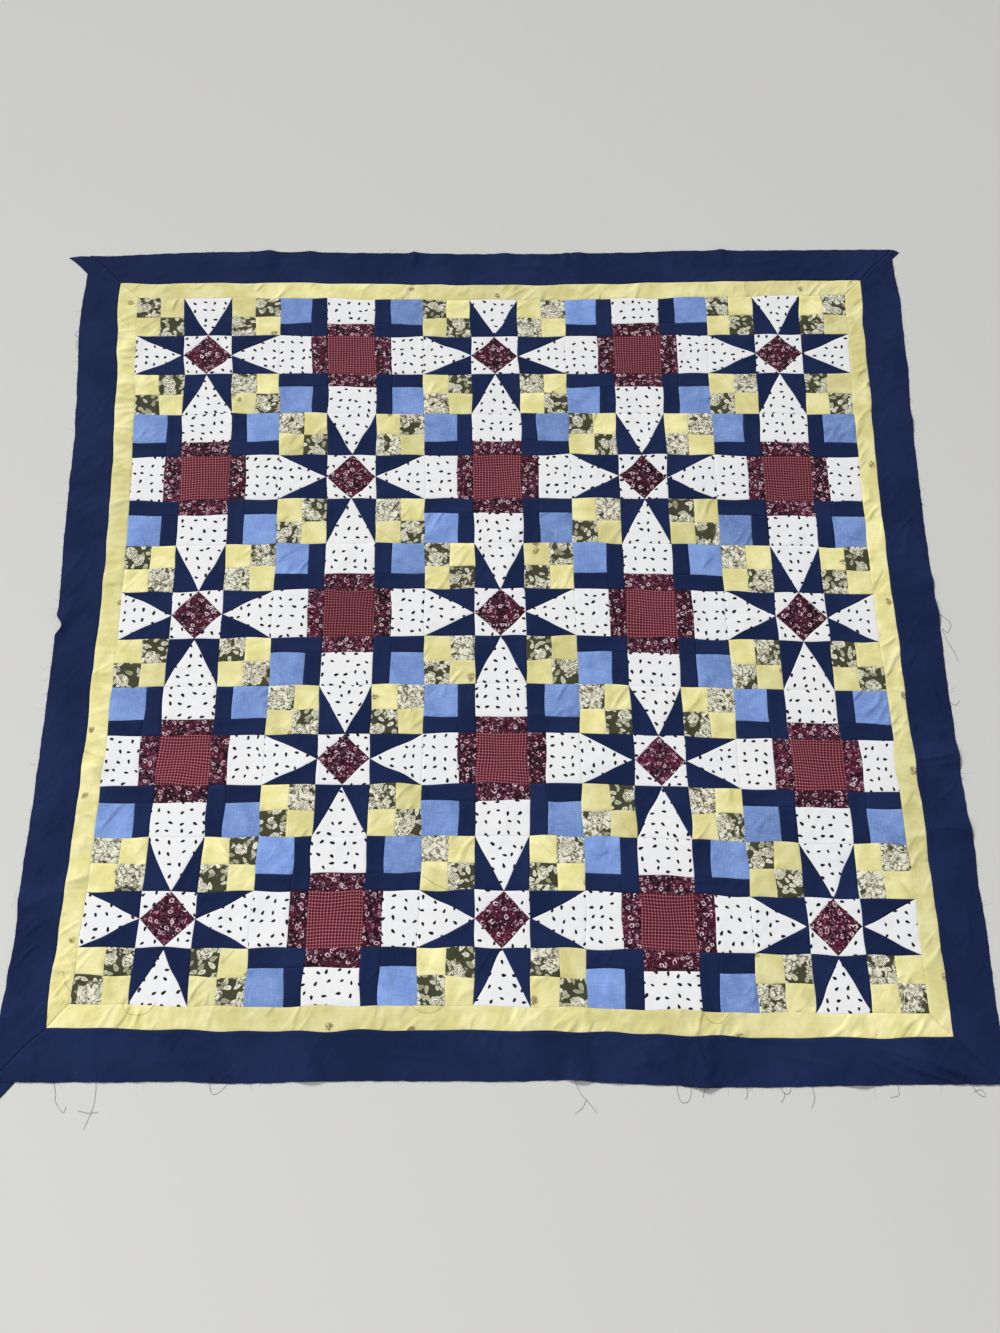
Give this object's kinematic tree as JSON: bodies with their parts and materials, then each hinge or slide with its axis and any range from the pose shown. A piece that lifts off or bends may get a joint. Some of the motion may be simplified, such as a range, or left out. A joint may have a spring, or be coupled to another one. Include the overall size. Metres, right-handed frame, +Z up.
{
  "type": "patchwork quilt top",
  "caption": "Pieced cotton quilt top of star and chain blocks inside a narrow pale and a wide navy mitred border, raw-edged, laid out flat.",
  "frame": {"origin": "under the middle of the centre block, on the plane that the cloth lies on", "axes": "+Z up out of the cloth's right side, +X to the right and +Y away from the near edge, both along the rows of blocks"},
  "size_m": [1.3882, 1.3641, 0.0062],
  "materials": {
    "pieced_star_cotton": "matt printed cotton: navy, white leaf print, maroon print, olive floral and pale yellow",
    "pieced_chain_cotton": "matt cotton: navy, mid blue, white leaf print, maroon print and a red check",
    "pale_yellow_cotton": "matt pale yellow cotton with small faded sprigs",
    "navy_cotton": "matt plain navy cotton with a raw edge"
  },
  "bodies": {
    "root": {"star_block_r1_c1": "pieced_star_cotton", "chain_block_r1_c2": "pieced_chain_cotton", "star_block_r1_c3": "pieced_star_cotton", "chain_block_r1_c4": "pieced_chain_cotton", "star_block_r1_c5": "pieced_star_cotton", "chain_block_r2_c1": "pieced_chain_cotton", "star_block_r2_c2": "pieced_star_cotton", "chain_block_r2_c3": "pieced_chain_cotton", "star_block_r2_c4": "pieced_star_cotton", "chain_block_r2_c5": "pieced_chain_cotton", "star_block_r3_c1": "pieced_star_cotton", "chain_block_r3_c2": "pieced_chain_cotton", "star_block_r3_c3": "pieced_star_cotton", "chain_block_r3_c4": "pieced_chain_cotton", "star_block_r3_c5": "pieced_star_cotton", "chain_block_r4_c1": "pieced_chain_cotton", "star_block_r4_c2": "pieced_star_cotton", "chain_block_r4_c3": "pieced_chain_cotton", "star_block_r4_c4": "pieced_star_cotton", "chain_block_r4_c5": "pieced_chain_cotton", "star_block_r5_c1": "pieced_star_cotton", "chain_block_r5_c2": "pieced_chain_cotton", "star_block_r5_c3": "pieced_star_cotton", "chain_block_r5_c4": "pieced_chain_cotton", "star_block_r5_c5": "pieced_star_cotton", "pale_border_top": "pale_yellow_cotton", "pale_border_right": "pale_yellow_cotton", "pale_border_bottom": "pale_yellow_cotton", "pale_border_left": "pale_yellow_cotton", "navy_border_top": "navy_cotton", "navy_border_right": "navy_cotton", "navy_border_bottom": "navy_cotton", "navy_border_left": "navy_cotton"}
  },
  "joints": []
}
